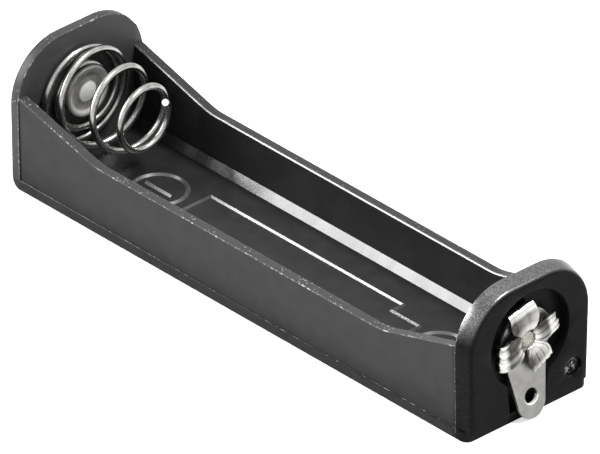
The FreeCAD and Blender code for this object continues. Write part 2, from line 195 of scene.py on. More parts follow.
class Recipe:
    """A geometry node tree with named sizes, which makes one plain mesh piece."""

    def __init__(self, name: str) -> None:
        """Start a tree whose host geometry comes in and whose piece goes out."""
        self.name = name
        self.tree = bpy.data.node_groups.new(name, "GeometryNodeTree")
        face = self.tree.interface
        face.new_socket("Geometry", in_out="INPUT", socket_type="NodeSocketGeometry")
        face.new_socket("Geometry", in_out="OUTPUT", socket_type="NodeSocketGeometry")
        self.entry = self.tree.nodes.new("NodeGroupInput")
        self.values: dict[str, float] = {}

    def size(self, name: str, value: float) -> Term:
        """Add a named input.

        Args:
            name: What the size is.
            value: The value the piece is made with.

        Returns:
            The input, for use in the tree.
        """
        socket = self.tree.interface.new_socket(name, in_out="INPUT", socket_type="NodeSocketFloat")
        self.values[socket.identifier] = float(value)
        return Term(self.tree, self.entry.outputs[name])

    def node(self, kind: str, mode: str | None = None,
             **inputs: "Term | bpy.types.NodeSocket | float") -> bpy.types.Node:
        """Add a node and fill its inputs.

        Args:
            kind: Blender's name of the node type.
            mode: Its mode, where it has one to set.
            inputs: Values by input name, with underscores for spaces.

        Returns:
            The node.
        """
        node = self.tree.nodes.new(kind)
        if mode is not None:
            node.mode = mode
        for name, value in inputs.items():
            slot = node.inputs[name.replace("_", " ")]
            if isinstance(value, Term):
                self.tree.links.new(value.socket, slot)
            elif isinstance(value, bpy.types.NodeSocket):
                self.tree.links.new(value, slot)
            else:
                slot.default_value = value
        return node

    def place(self, x: Term, y: Term, z: Term) -> bpy.types.NodeSocket:
        """A position made of three terms."""
        joined = self.node("ShaderNodeCombineXYZ", X=x, Y=y, Z=z)
        return joined.outputs[0]

    def make(self, shape: bpy.types.NodeSocket, material: bpy.types.Material,
             host: bpy.types.Mesh | None = None) -> bpy.types.Object:
        """End the tree, run it once and keep its result as a plain mesh.

        Args:
            shape: The geometry to keep.
            material: The finish that it gets.
            host: The mesh that the tree starts from, if it needs one.

        Returns:
            An object at the origin that holds the finished mesh.
        """
        real = self.node("GeometryNodeRealizeInstances", Geometry=shape)
        dressed = self.node("GeometryNodeSetMaterial", Geometry=real.outputs[0])
        dressed.inputs["Material"].default_value = material
        leave = self.tree.nodes.new("NodeGroupOutput")
        self.tree.links.new(dressed.outputs[0], leave.inputs[0])
        bench_name = f"{self.name}_bench"
        bench = add_object(bench_name, host or bpy.data.meshes.new(bench_name))
        modifier = bench.modifiers.new(self.name, "NODES")
        modifier.node_group = self.tree
        for identifier, value in self.values.items():
            modifier[identifier] = value
        ready = bench.evaluated_get(bpy.context.evaluated_depsgraph_get())
        mesh = bpy.data.meshes.new_from_object(ready)
        bench.modifiers.clear()
        bpy.data.objects.remove(bench)
        mesh.name = self.name
        return add_object(self.name, mesh)


class Paint:
    """A material being made: a Principled shader and the nodes that feed it."""

    def __init__(self, name: str) -> None:
        """Start a material with an untouched Principled shader."""
        self.material = bpy.data.materials.new(name)
        self.material.use_nodes = True
        self.tree = self.material.node_tree
        self.shader = self.tree.nodes["Principled BSDF"]
        self.where = self.tree.nodes.new("ShaderNodeTexCoord").outputs["Object"]

    def plain(self, **values: float | tuple[float, ...]) -> None:
        """Set sockets of the shader that are the same all over, with underscores for spaces."""
        for name, value in values.items():
            self.shader.inputs[name.replace("_", " ")].default_value = value

    def feed(self, name: str, value: "Term | bpy.types.NodeSocket") -> None:
        """Link a value to a socket of the shader."""
        socket = value.socket if isinstance(value, Term) else value
        self.tree.links.new(socket, self.shader.inputs[name])

    def noise(self, grain: float, detail: float = 2.0, roughness: float = 0.5,
              stretch: tuple[float, float, float] = (1.0, 1.0, 1.0)) -> Term:
        """Soft noise about 0.5.

        Args:
            grain: Size of its blobs, in metres.
            detail: How many finer layers it has.
            roughness: How strong those are.
            stretch: How many times finer it is along each axis.

        Returns:
            The noise.
        """
        texture = self.tree.nodes.new("ShaderNodeTexNoise")
        texture.inputs["Scale"].default_value = 1.0 / grain
        texture.inputs["Detail"].default_value = detail
        texture.inputs["Roughness"].default_value = roughness
        self.tree.links.new(self.stretched(stretch), texture.inputs["Vector"])
        return Term(self.tree, texture.outputs["Fac"])

    def stretched(self, stretch: tuple[float, float, float]) -> bpy.types.NodeSocket:
        """Object coordinates, made finer along each axis by a factor."""
        if stretch == (1.0, 1.0, 1.0):
            return self.where
        mapping = self.tree.nodes.new("ShaderNodeMapping")
        mapping.inputs["Scale"].default_value = stretch
        self.tree.links.new(self.where, mapping.inputs["Vector"])
        return mapping.outputs["Vector"]

    def specks(self, spacing: float, size: float) -> Term:
        """Small round specks, 1 in their middle.

        Args:
            spacing: Their distance from each other, in metres.
            size: Their radius, as a share of the spacing.

        Returns:
            Their strength.
        """
        texture = self.tree.nodes.new("ShaderNodeTexVoronoi")
        texture.inputs["Scale"].default_value = 1.0 / spacing
        self.tree.links.new(self.where, texture.inputs["Vector"])
        return 1.0 - Term(self.tree, texture.outputs["Distance"]).between(size * 0.5, size)

    def along(self, axis: str) -> Term:
        """One of the object coordinates, in metres."""
        parts = self.tree.nodes.new("ShaderNodeSeparateXYZ")
        self.tree.links.new(self.where, parts.inputs[0])
        return Term(self.tree, parts.outputs[axis])

    def ringed(self, rings: Sequence[tuple[float, float]]) -> Term:
        """A value in rings round the rivets' axis.

        Args:
            rings: Pairs of a radius in metres and the value there.

        Returns:
            The value, which runs evenly from each radius to the next.
        """
        radius = self.from_axis(0.0, RIVET_HEIGHT)
        value: Term | float = rings[0][1]
        for (near, before), (far, after) in zip(rings, rings[1:]):
            value = value + (after - before) * radius.between(near, far)
        return value

    def from_axis(self, side: float, height: float) -> Term:
        """How far the surface lies from an axis along X, in metres."""
        across, above = self.along("Y") - side, self.along("Z") - height
        return (across * across + above * above).apply("SQRT")

    def zone(self, zone: Zone) -> Term:
        """1 on the faces of a zone and 0 elsewhere."""
        return self.attribute(zone.value)

    def attribute(self, name: str) -> Term:
        """A value that the mesh holds, and 0 where it holds none."""
        reader = self.tree.nodes.new("ShaderNodeAttribute")
        reader.attribute_name = name
        return Term(self.tree, reader.outputs["Fac"])

    def mixed(self, share: Term, low: "Sequence[float] | bpy.types.NodeSocket",
              high: Sequence[float]) -> bpy.types.NodeSocket:
        """A colour that runs from a low one to a high one with a share."""
        mix = self.tree.nodes.new("ShaderNodeMix")
        mix.data_type = "RGBA"
        share_in, low_in, high_in = mix.inputs[0], mix.inputs[6], mix.inputs[7]
        self.tree.links.new(share.socket, share_in)
        if isinstance(low, bpy.types.NodeSocket):
            self.tree.links.new(low, low_in)
        else:
            low_in.default_value = (*low, 1.0)
        high_in.default_value = (*high, 1.0)
        return mix.outputs[2]

    def raise_surface(self, height: Term, depth: float) -> None:
        """Bump the surface by a height of 0 to 1 over a depth in metres."""
        bump = self.tree.nodes.new("ShaderNodeBump")
        bump.inputs["Strength"].default_value = 1.0
        bump.inputs["Distance"].default_value = depth
        self.tree.links.new(height.socket, bump.inputs["Height"])
        self.tree.links.new(bump.outputs[0], self.shader.inputs["Normal"])


# Finishes


@dataclass(frozen=True)
class WearAndLight:
    """What use, polish and painted light do to one kind of surface of the plastic.

    Attributes:
        paler: How far its colour runs to the paler tone: painted light on lit tops and the rubbed and lit
            edges, paler patches on eased edges, and a plain paler tone on the thin end's faces.
        patchy: How much further it does so in patches.
        smoother: How much less rough it is.
        shinier: How much more it mirrors.
    """

    paler: float = 0.0
    patchy: float = 0.0
    smoother: float = 0.0
    shinier: float = 0.0


# Painted light: lit tops, the rubbed and lit edges and the far rib are painted paler where light falls and
# highlights show; eased edges are paler in patches
WEAR_AND_LIGHT = {
    Zone.TOP: WearAndLight(paler=0.45),
    Zone.STRIP: WearAndLight(smoother=0.2, shinier=0.75),
    Zone.EDGE: WearAndLight(paler=0.2, patchy=0.5, smoother=0.1, shinier=0.5),
    Zone.RUBBED_AND_LIT: WearAndLight(paler=1.0, smoother=0.1, shinier=0.75),
    Zone.PALE: WearAndLight(paler=0.6),
}


@dataclass(frozen=True)
class MouldedPlastic:
    """Black injection-moulded plastic: satin, with tops painted paler as painted light, a polished strip, a
    grainy band, a thick end painted darker as painted shade, and painted glints by the dimple and on the
    rim's shoulders.
    """

    name: str = "black_moulded_plastic"
    dark: tuple[float, float, float] = (0.015, 0.015, 0.0155)
    light: tuple[float, float, float] = (0.021, 0.021, 0.0215)
    # Painted shade: the thick end's darker colour, as it faces away from the light
    end_shade: tuple[float, float, float] = (0.005, 0.005, 0.005)
    # The paler tone: painted light on lit tops and lit edges, and paler patches on eased edges
    worn_and_lit: tuple[float, float, float] = (0.075, 0.075, 0.076)
    speck: tuple[float, float, float] = (0.62, 0.62, 0.60)
    end_shade_share: float = 0.95
    speck_share: float = 0.7
    roughness: float = 0.36
    mottle_rough: float = 0.08
    grain_rough: float = 0.14
    shoulder_smoother: float = 0.08
    shine: float = 0.24
    end_dulling: float = 0.18
    shoulder_shine: float = 1.3
    shoulder_glints: float = 0.9
    # Pale specks on the rim's high shoulders: painted glints
    shoulder_glint_specks: float = 0.1
    band_glints: float = 0.06
    mottle: float = 1.6 * MM
    patch: float = 2.2 * MM
    chip: float = 0.3 * MM
    grain: float = 0.09 * MM
    band_grain: float = 0.13 * MM
    # Grain of the pale specks round the dimple: painted glints
    dimple_glint_grain: float = 0.22 * MM
    grain_depth: float = 0.016 * MM
    dust_spacing: float = 0.3 * MM
    dust_size: float = 0.24
    brush: float = 1.4 * MM
    brush_stretch: tuple[float, float, float] = (1.0, 0.35, 0.35)
    strip_fade: tuple[float, float] = (-21.0 * MM, -9.0 * MM)
    end_fade: tuple[float, float] = (24.3 * MM, 25.1 * MM)
    face_fade: tuple[float, float] = (26.1 * MM, 26.33 * MM)
    recess_fade: tuple[float, float] = (4.2 * MM, 4.6 * MM)
    shoulder_fade: tuple[float, float] = (8.6 * MM, 10.8 * MM)
    dimple_place: tuple[float, float] = (4.45 * MM, 2.55 * MM)
    dimple_fade: tuple[float, float] = (0.45 * MM, 0.9 * MM)

    def material(self) -> bpy.types.Material:
        """Build the material.

        Returns:
            The finished material.
        """
        paint = Paint(self.name)
        shares = {zone: paint.zone(zone) for zone in Zone}
        shares[Zone.STRIP] = shares[Zone.STRIP] * (1.0 - self.brush_marks(paint))
        end, band, shoulder, dimple = self.end_places(paint)
        mottle = paint.noise(self.mottle, detail=3.0)
        fine = paint.noise(self.grain, detail=1.0)
        coarse = paint.noise(self.band_grain)
        grains = coarse.between(0.42, 0.62)
        patches = paint.noise(self.patch).between(0.42, 0.62)
        chips = paint.noise(self.chip).between(0.54, 0.64)

        # Dust specks on the tops, chips on eased edges, and painted glints round the dimple and on the
        # rim's shoulders
        dust_and_glints = paint.specks(self.dust_spacing, self.dust_size) * patches * shares[Zone.TOP]
        dust_and_glints = dust_and_glints + chips * (0.35 + 0.65 * patches) * shares[Zone.EDGE]
        dust_and_glints = dust_and_glints + paint.noise(self.dimple_glint_grain).between(0.5, 0.6) * dimple
        dust_and_glints = dust_and_glints + self.shoulder_glint_specks * grains * shoulder * fine.between(0.4, 0.6)

        worn_and_lit: Term | float = 0.0
        rough = self.roughness + self.mottle_rough * (mottle - 0.5) + self.grain_rough * (fine - 0.5)
        shine = self.shine - self.end_dulling * end
        for zone, wear_and_light in WEAR_AND_LIGHT.items():
            worn_and_lit = worn_and_lit + (wear_and_light.paler + wear_and_light.patchy * patches) * shares[zone]
            rough = rough - wear_and_light.smoother * shares[zone]
            shine = shine + wear_and_light.shinier * shares[zone]
        rough = rough - self.shoulder_smoother * shoulder
        shine = shine + (self.shoulder_shine + self.shoulder_glints * grains) * shoulder

        base = paint.mixed(mottle.between(0.3, 0.7), self.dark, self.light)
        # Painted shade: the whole thick end is darkened
        base = paint.mixed(self.end_shade_share * end, base, self.end_shade)
        # Paler tone mixed in: painted light on lit tops and lit edges, paler patches on eased edges
        base = paint.mixed(worn_and_lit.held(0.0, 1.0), base, self.worn_and_lit)
        paint.feed("Base Color", paint.mixed((self.speck_share * dust_and_glints).held(0.0, 1.0), base, self.speck))
        paint.feed("Roughness", rough)
        paint.feed("Specular IOR Level", shine + self.band_glints * grains * band)
        paint.raise_surface(0.25 * fine + 0.5 * band * coarse, self.grain_depth)
        return paint.material

    def brush_marks(self, paint: Paint) -> Term:
        """How far brush marks dull the polished strip: most near the spring, and little elsewhere."""
        marks = paint.noise(self.brush, detail=4.0, roughness=0.65, stretch=self.brush_stretch)
        near_spring = 1.0 - paint.along("X").between(*self.strip_fade)
        return (0.12 + 0.88 * near_spring) * marks.between(0.35, 0.6)

    def end_places(self, paint: Paint) -> tuple[Term, Term, Term, Term]:
        """Where the thick end's own looks lie.

        Args:
            paint: The material being made.

        Returns:
            The shares of the whole end, its grainy rounded rim, the rim's high shoulders and the dimple.
        """
        height = paint.along("Z")
        end = paint.along("X").between(*self.end_fade)
        outside_recess = paint.from_axis(0.0, RIVET_HEIGHT).between(*self.recess_fade)
        band = end * outside_recess * (1.0 - paint.along("X").between(*self.face_fade))
        shoulder = band * height.between(*self.shoulder_fade)
        dimple = end * (1.0 - paint.from_axis(*self.dimple_place).between(*self.dimple_fade))
        return end, band, shoulder, dimple


@dataclass(frozen=True)
class PlatedMetal:
    """Plated metal: a bright or dull coat with faint stains and rolling or drawing marks, or with painted
    shade and highlight.
    """

    name: str
    tint: tuple[float, float, float]
    stain_and_shade: tuple[float, float, float]
    roughness: float
    mottle: float = 0.7 * MM
    marks: float = 0.05 * MM
    marks_depth: float = 0.002 * MM
    # Pairs of a radius and a share of the dark colour: rings of painted shade and highlight round the axis
    rings: tuple[tuple[float, float], ...] = ()
    metallic: float = 1.0
    # Whether the mesh's attribute of painted shade sets the share of the dark colour
    reads_painted_shade: bool = False
    stain_sway: float = 0.4
    mottle_rough: float = 0.16
    marks_rough: float = 0.18

    def material(self) -> bpy.types.Material:
        """Build the material.

        Returns:
            The finished material.
        """
        paint = Paint(self.name)
        mottle = paint.noise(self.mottle, detail=4.0, roughness=0.6)
        marks = paint.noise(self.marks)
        sway = self.stain_sway * (mottle - 0.5)
        # Share of the dark colour: painted shade and highlight in rings or from the attribute, else random
        # stains
        if self.rings:
            stain_and_shade_share = (paint.ringed(self.rings) + sway).held(0.0, 1.0)
        elif self.reads_painted_shade:
            stain_and_shade_share = (paint.attribute(PAINTED_SHADE) + sway).held(0.0, 1.0)
        else:
            stain_and_shade_share = mottle.between(0.35, 0.7)
        paint.feed("Base Color", paint.mixed(stain_and_shade_share, self.tint, self.stain_and_shade))
        paint.feed("Roughness", self.roughness + self.mottle_rough * (mottle - 0.5)
                   + self.marks_rough * (marks - 0.5))
        paint.plain(Metallic=self.metallic)
        paint.raise_surface(marks, self.marks_depth)
        return paint.material


PLASTIC = MouldedPlastic()
# The floor marks' paler plastic: their paler colour is a painted highlight along the ribs
RIB_PLASTIC = MouldedPlastic("rib_plastic_painted_highlight", dark=(0.05, 0.05, 0.051), light=(0.09, 0.09, 0.091),
                             roughness=0.3, shine=1.0)
BRIGHT_WIRE = PlatedMetal("bright_spring_wire", (0.52, 0.515, 0.50), (0.34, 0.335, 0.32), 0.24,
                          marks_depth=0.0006 * MM)
# Its dark colour, set by the petals' attribute, is painted shade in folds, on undersides and on one side;
# the rolls keep the bright tint as painted highlight
BRIGHT_RIVET = PlatedMetal("rolled_rivet_plate", (0.84, 0.83, 0.80), (0.06, 0.056, 0.05), 0.24,
                           reads_painted_shade=True)
# Near-white and hardly metallic, with rings of the dark colour: the flange's bright dome and darker rings
# are painted reflections
BRIGHT_BOSS = PlatedMetal(
    "flange_painted_reflections", (0.98, 0.975, 0.96), (0.10, 0.095, 0.09), 0.35, metallic=0.2,
    rings=((0.75 * MM, 0.0), (0.98 * MM, 0.85), (1.5 * MM, 0.8), (1.75 * MM, 0.45), (2.1 * MM, 0.8)),
)
# Near-white and hardly metallic: the wire's cut ends are bare metal painted bright as a highlight, and a
# lug hole's lower wall is a painted highlight for the backdrop seen through it
CUT_METAL_AND_HIGHLIGHT = PlatedMetal("cut_metal_and_painted_highlight", (0.97, 0.965, 0.95), (0.92, 0.91, 0.90), 0.5, metallic=0.3)
DULL_LUG = PlatedMetal("dull_lug_plate", (0.36, 0.355, 0.34), (0.30, 0.295, 0.28), 0.42)


# Mesh helpers


def add_object(name: str, mesh: bpy.types.Mesh,
               material: bpy.types.Material | None = None) -> bpy.types.Object:
    """Put a mesh in the scene as an object at the origin.

    Args:
        name: The piece's name.
        mesh: Its mesh.
        material: Its finish.

    Returns:
        The object.
    """
    piece = bpy.data.objects.new(name, mesh)
    bpy.context.scene.collection.objects.link(piece)
    if material is not None:
        mesh.materials.clear()
        mesh.materials.append(material)
    return piece


def smooth(mesh: bpy.types.Mesh, angle: float = 35.0) -> None:
    """Shade a mesh smooth, apart from edges sharper than an angle in degrees."""
    shell = bmesh.new()
    shell.from_mesh(mesh)
    for face in shell.faces:
        face.smooth = True
    for edge in shell.edges:
        edge.smooth = edge.is_manifold and edge.calc_face_angle() < math.radians(angle)
    shell.to_mesh(mesh)
    shell.free()
    if "custom_normal" in mesh.attributes:
        mesh.attributes.remove(mesh.attributes["custom_normal"])


def keep_flats_flat(piece: bpy.types.Object) -> None:
    """Shade a smooth piece so that its eased edges bend the light and its flat faces don't."""
    weighting = piece.modifiers.new("flat_faces", "WEIGHTED_NORMAL")
    weighting.mode = "FACE_AREA"
    weighting.weight = 100
    weighting.keep_sharp = True
    bake_modifiers(piece)


def grid_mesh(name: str, rows: np.ndarray, closed: bool = False) -> bpy.types.Mesh:
    """A mesh whose points lie in rows.

    Args:
        name: The mesh's name.
        rows: Points as an array of rows, columns and coordinates.
        closed: Whether each row's end joins its start.

    Returns:
        The mesh.
    """
    count, width = rows.shape[:2]
    across = width if closed else width - 1
    faces = [
        (row * width + column, row * width + (column + 1) % width,
         (row + 1) * width + (column + 1) % width, (row + 1) * width + column)
        for row in range(count - 1)
        for column in range(across)
    ]
    mesh = bpy.data.meshes.new(name)
    mesh.from_pydata([tuple(point) for point in rows.reshape(-1, 3)], [], faces)
    mesh.update()
    return mesh


def point_outwards(mesh: bpy.types.Mesh) -> None:
    """Merge a closed mesh's doubles and turn its faces outwards."""
    shell = bmesh.new()
    shell.from_mesh(mesh)
    bmesh.ops.remove_doubles(shell, verts=shell.verts, dist=SAME_POINT)
    bmesh.ops.recalc_face_normals(shell, faces=shell.faces)
    shell.to_mesh(mesh)
    shell.free()
    mesh.update()


def bake_modifiers(piece: bpy.types.Object) -> None:
    """Replace a piece's mesh by what its modifiers make of it."""
    ready = piece.evaluated_get(bpy.context.evaluated_depsgraph_get())
    mesh = bpy.data.meshes.new_from_object(ready)
    piece.modifiers.clear()
    piece.data = mesh


def join(name: str, pieces: Sequence[bpy.types.Object]) -> bpy.types.Object:
    """Join pieces that ride on one body into one mesh.

    Args:
        name: The joined piece's name.
        pieces: The pieces, all at the origin.

    Returns:
        The joined piece.
    """
    whole = bmesh.new()
    materials: list[bpy.types.Material] = []
    for piece in pieces:
        before = len(whole.faces)
        whole.from_mesh(piece.data)
        whole.faces.ensure_lookup_table()
        material = piece.data.materials[0]
        if material not in materials:
            materials.append(material)
        for face in whole.faces[before:]:
            face.material_index = materials.index(material)
    mesh = bpy.data.meshes.new(name)
    whole.to_mesh(mesh)
    whole.free()
    for piece in pieces:
        bpy.data.objects.remove(piece)
    made = add_object(name, mesh)
    for material in materials:
        mesh.materials.append(material)
    return made


def cleaned_copy(node: str, name: str, material: bpy.types.Material) -> bpy.types.Object:
    """A copy of a CAD node's mesh with its flat faces made whole.

    Args:
        node: The CAD node.
        name: The new piece's name.
        material: Its finish.

    Returns:
        The piece.
    """
    shell = bmesh.new()
    shell.from_mesh(frame["nodes"][node].data)
    bmesh.ops.remove_doubles(shell, verts=shell.verts, dist=SAME_CAD_POINT)
    bmesh.ops.dissolve_limit(shell, angle_limit=math.radians(0.4), use_dissolve_boundaries=False,
                             verts=shell.verts, edges=shell.edges)
    mesh = bpy.data.meshes.new(name)
    shell.to_mesh(mesh)
    shell.free()
    return add_object(name, mesh, material)


def ease_edges(piece: bpy.types.Object, width: float, angle: float = 40.0,
               chosen: Callable[[Vector, Vector], bool] | None = None, mark: Zone | None = None,
               last: bool = True) -> None:
    """Round a piece's sharp outward edges.

    Args:
        piece: The piece.
        width: The rounding's width, in metres.
        angle: How sharp an edge is to be rounded, in degrees.
        chosen: Says of an edge's two ends whether it is rounded; all are, if not given.
        mark: The zone that the new faces are marked as.
        last: Whether no other rounding follows, so that many-sided faces are cut into triangles.
    """
    shell = bmesh.new()
    shell.from_mesh(piece.data)
    sharp = [
        edge for edge in shell.edges
        if edge.is_manifold and edge.calc_face_angle_signed() > math.radians(angle)
        and (chosen is None or chosen(*(corner.co for corner in edge.verts)))
    ]
    layer = shell.faces.layers.float.new(mark.value) if mark else None
    made = bmesh.ops.bevel(shell, geom=sharp, offset=width, offset_type="OFFSET", segments=2, profile=0.5,
                           affect="EDGES", clamp_overlap=False, loop_slide=True)
    if mark:
        for face in made["faces"]:
            face[layer] = 1.0
    if last:
        many_sided = [face for face in shell.faces if len(face.verts) > 4]
        bmesh.ops.triangulate(shell, faces=many_sided, quad_method="BEAUTY", ngon_method="BEAUTY")
    shell.to_mesh(piece.data)
    shell.free()


def dress(piece: bpy.types.Object, body: Body, slot: Slot, *nodes: str) -> bpy.types.Object:
    """Make a piece ride on its body and stand for its CAD nodes."""
    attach(piece, body.value)
    if nodes:
        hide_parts(*nodes)
    log.info("%s: %d faces on body %s", piece.name, len(piece.data.polygons), body.value)
    return piece


# Sub-assemblies


@dataclass
class Tray:
    """The moulded tray: the CAD shell with eased edges, and the raised marks in its floor.

    Attributes:
        foot_height: Height of the foot strip.
        end_start: How far from the middle the thick end's own faces start.
        same_height: Greatest difference of heights that count as the same.
        floor_height: Height of the bay's floor.
        eased: Rounding of the sharp edges.
        rubbed: Rounding of the far wall's top, which cells rub.
        top_start: Height over which faces that look up are the walls' tops.
        inner_face: How far from the middle the end walls' inner faces lie, or a little less.
        far_outside: How far from the middle the far wall's outer top edge lies, or a little less.
        strip_start: How far from the middle the polished strips along the floor start.
        strip_top: Height where they end.
        facing: Least part of a face's direction along an axis, where the face looks along it.
        slanted: Least and greatest upward part of the strips' direction.
        rib_slope: Least part across the tray of the direction of a rib's far side.
        rim_lean: Greatest part along the tray of the direction of the thin end's rim.
        far_wear_and_light: How much of the tops' paler tone, which is painted light, and of their dust the
            far wall's top gets, beside 1 for the near wall's.
        mark_width: Width of the marks' ribs at their foot.
        mark_top: Their width at their top.
        mark_height: Their height, of which half is sunk in the floor.
        ring_steps: Straight pieces in a ring.
        sign_radius: Radius of the rings round the plus and minus signs.
        sign_place: How far from the middle they lie.
        sign_bar: Length of the signs' bars.
        cell_start: Where the outline of the cell starts.
        cell_shoulder: Where its cap starts.
        cell_tip: Where its cap ends.
        cell_half_width: Half of its width.
        cap_half_width: Half of its cap's width.
    """

    foot_height: float = 0.9 * MM
    end_start: float = 24.9 * MM
    same_height: float = 0.05 * MM
    floor_height: float = 1.5 * MM
    eased: float = 0.07 * MM
    rubbed: float = 0.13 * MM
    top_start: float = 5.9 * MM
    inner_face: float = 25.2 * MM
    far_outside: float = 5.95 * MM
    strip_start: float = 4.9 * MM
    strip_top: float = 2.25 * MM
    facing: float = 0.9
    slanted: tuple[float, float] = (0.4, 0.8)
    rib_slope: float = 0.3
    rim_lean: float = 0.3
    far_wear_and_light: float = 0.45
    mark_width: float = 0.76 * MM
    mark_top: float = 0.06 * MM
    mark_height: float = 0.33 * MM
    ring_steps: int = 64
    sign_radius: float = 2.3 * MM
    sign_place: float = 16.1 * MM
    sign_bar: float = 3.0 * MM
    cell_start: float = -12.55 * MM
    cell_shoulder: float = 9.6 * MM
    cell_tip: float = 12.8 * MM
    cell_half_width: float = 2.3 * MM
    cap_half_width: float = 1.05 * MM

    def build(self) -> bpy.types.Object:
        """Build the tray and dress it.

        Returns:
            The finished piece.
        """
        material = PLASTIC.material()
        shell = cleaned_copy("holder_body", "tray_shell", material)
        ease_edges(shell, self.rubbed, chosen=self.on_far_top, mark=Zone.RUBBED_AND_LIT, last=False)
        ease_edges(shell, self.eased, chosen=self.off_foot_end, mark=Zone.EDGE)
        marks = self.raised_marks(RIB_PLASTIC.material())
        point_outwards(marks.data)
        tray = join("moulded_tray", [shell, marks])
        smooth(tray.data, angle=32.0)
        keep_flats_flat(tray)
        self.name_zones(tray.data)
        return dress(tray, Body.HOLDER, Slot.TRAY, "holder_body")

    def off_foot_end(self, first: Vector, second: Vector) -> bool:
        """Whether an edge is none of the fine ones where an end wall stands on the foot's corners."""
        low = max(abs(end.z - self.foot_height) for end in (first, second)) < self.same_height
        return not (low and min(abs(first.x), abs(second.x)) > self.end_start)

    def on_far_top(self, first: Vector, second: Vector) -> bool:
        """Whether an edge is the far wall's top one on the bay's side, which cells rub and whose rounding
        is painted paler as a painted highlight.
        """
        inside = self.strip_start < min(first.y, second.y) and max(first.y, second.y) < self.far_outside
        high = min(first.z, second.z) > self.top_start
        return inside and high and max(abs(first.x), abs(second.x)) < self.inner_face + self.eased

    def name_zones(self, mesh: bpy.types.Mesh) -> None:
        """Write on each face how far it belongs to each zone."""
        found: dict[Zone, list[float]] = {zone: [] for zone in Zone}
        eased, rubbed = (mesh.attributes[zone.value].data for zone in (Zone.EDGE, Zone.RUBBED_AND_LIT))
        for face in mesh.polygons:
            i = face.index
            shares = self.zone_shares(face.center, face.normal, eased[i].value, rubbed[i].value)
            for zone, share in shares.items():
                found[zone].append(share)
        for zone in (Zone.TOP, Zone.STRIP, Zone.PALE):
            mesh.attributes.new(zone.value, "FLOAT", "FACE")
        for zone, values in found.items():
            mesh.attributes[zone.value].data.foreach_set("value", values)

    def zone_shares(self, middle: Vector, normal: Vector, eased: float, rubbed: float) -> dict[Zone, float]:
        """How far a face belongs to each zone.

        Args:
            middle: The face's middle.
            normal: Its direction.
            eased: 1 where it was made by the rounding of the sharp edges.
            rubbed: 1 where it was made by the rounding of the far wall's top.

        Returns:
            Its share of each zone.
        """
        outside = abs(middle.x) > self.inner_face
        thick_end = middle.x > self.end_start
        foot_end = outside and middle.z < 2 * self.foot_height
        wall_top = middle.z > self.top_start and normal.z > self.facing and not outside
        thin_end = middle.x < -self.inner_face
        thin_rim = thin_end and middle.z > 3 * self.foot_height and abs(normal.x) < self.rim_lean
        inwards = abs(middle.y) > self.strip_start and middle.y * normal.y < 0
        slanted = self.slanted[0] < normal.z < self.slanted[1]
        far_side = abs(middle.z - self.floor_height) < self.mark_height / 2 and normal.y < -self.rib_slope
        far_rib = far_side and 0 < middle.y < self.strip_start and abs(middle.x) < self.cell_tip
        # Lit tops and the thin rim are painted paler where they face the light, and the far rib gets the
        # rubbed and lit tone as a painted highlight
        return {
            Zone.TOP: float(wall_top or thin_rim) * (self.far_wear_and_light if middle.y > 0 else 1.0),
            Zone.STRIP: float(inwards and slanted and middle.z < self.strip_top),
            Zone.EDGE: eased * float(not (thick_end or foot_end)),
            Zone.RUBBED_AND_LIT: max(rubbed * float(not thick_end), float(far_rib)),
            Zone.PALE: float(thin_end and abs(normal.x) > self.facing),
        }

    def mark_lines(self) -> list[tuple[list[tuple[float, float]], bool]]:
        """The marks' middle lines, each with whether it is closed: two ringed signs and a cell."""
        lines: list[tuple[list[tuple[float, float]], bool]] = []
        turns = [math.tau * step / self.ring_steps for step in range(self.ring_steps)]
        half = self.sign_bar / 2
        for place in (-self.sign_place, self.sign_place):
            ring = [(place + self.sign_radius * math.cos(t), self.sign_radius * math.sin(t)) for t in turns]
            lines += [(ring, True), ([(place - half, 0.0), (place + half, 0.0)], False)]
        lines.append(([(self.sign_place, -half), (self.sign_place, half)], False))
        near_side = [
            (self.cell_start, -self.cell_half_width),
            (self.cell_shoulder, -self.cell_half_width),
            (self.cell_shoulder, -self.cap_half_width),
            (self.cell_tip, -self.cap_half_width),
        ]
        lines.append((near_side + [(x, -y) for x, y in reversed(near_side)], True))
        return lines

    def raised_marks(self, material: bpy.types.Material) -> bpy.types.Object:
        """The outline of a cell between a minus and a plus sign, as low ribs sunk by half in the floor."""
        points: list[tuple[float, float, float]] = []
        edges: list[tuple[int, int]] = []
        for line, closed in self.mark_lines():
            first = len(points)
            points += [(x, y, self.floor_height) for x, y in line]
            edges += [(first + i, first + i + 1) for i in range(len(line) - 1)]
            if closed:
                edges.append((first + len(line) - 1, first))
        host = bpy.data.meshes.new("mark_lines")
        host.from_pydata(points, edges, [])

        recipe = Recipe("floor_marks")
        width = recipe.size("Foot width", self.mark_width)
        top = recipe.size("Top width", self.mark_top)
        height = recipe.size("Height", self.mark_height)
        curve = recipe.node("GeometryNodeMeshToCurve", Mesh=recipe.entry.outputs["Geometry"])
        normal = recipe.node("GeometryNodeSetCurveNormal", "Z_UP", Curve=curve.outputs[0])
        profile = recipe.node("GeometryNodeCurvePrimitiveQuadrilateral", "TRAPEZOID", Height=height,
                              Bottom_Width=top, Top_Width=width, Offset=0.0)
        swept = recipe.node("GeometryNodeCurveToMesh", Curve=normal.outputs[0],
                            Profile_Curve=profile.outputs[0], Fill_Caps=True)
        return recipe.make(swept.outputs[0], material, host)


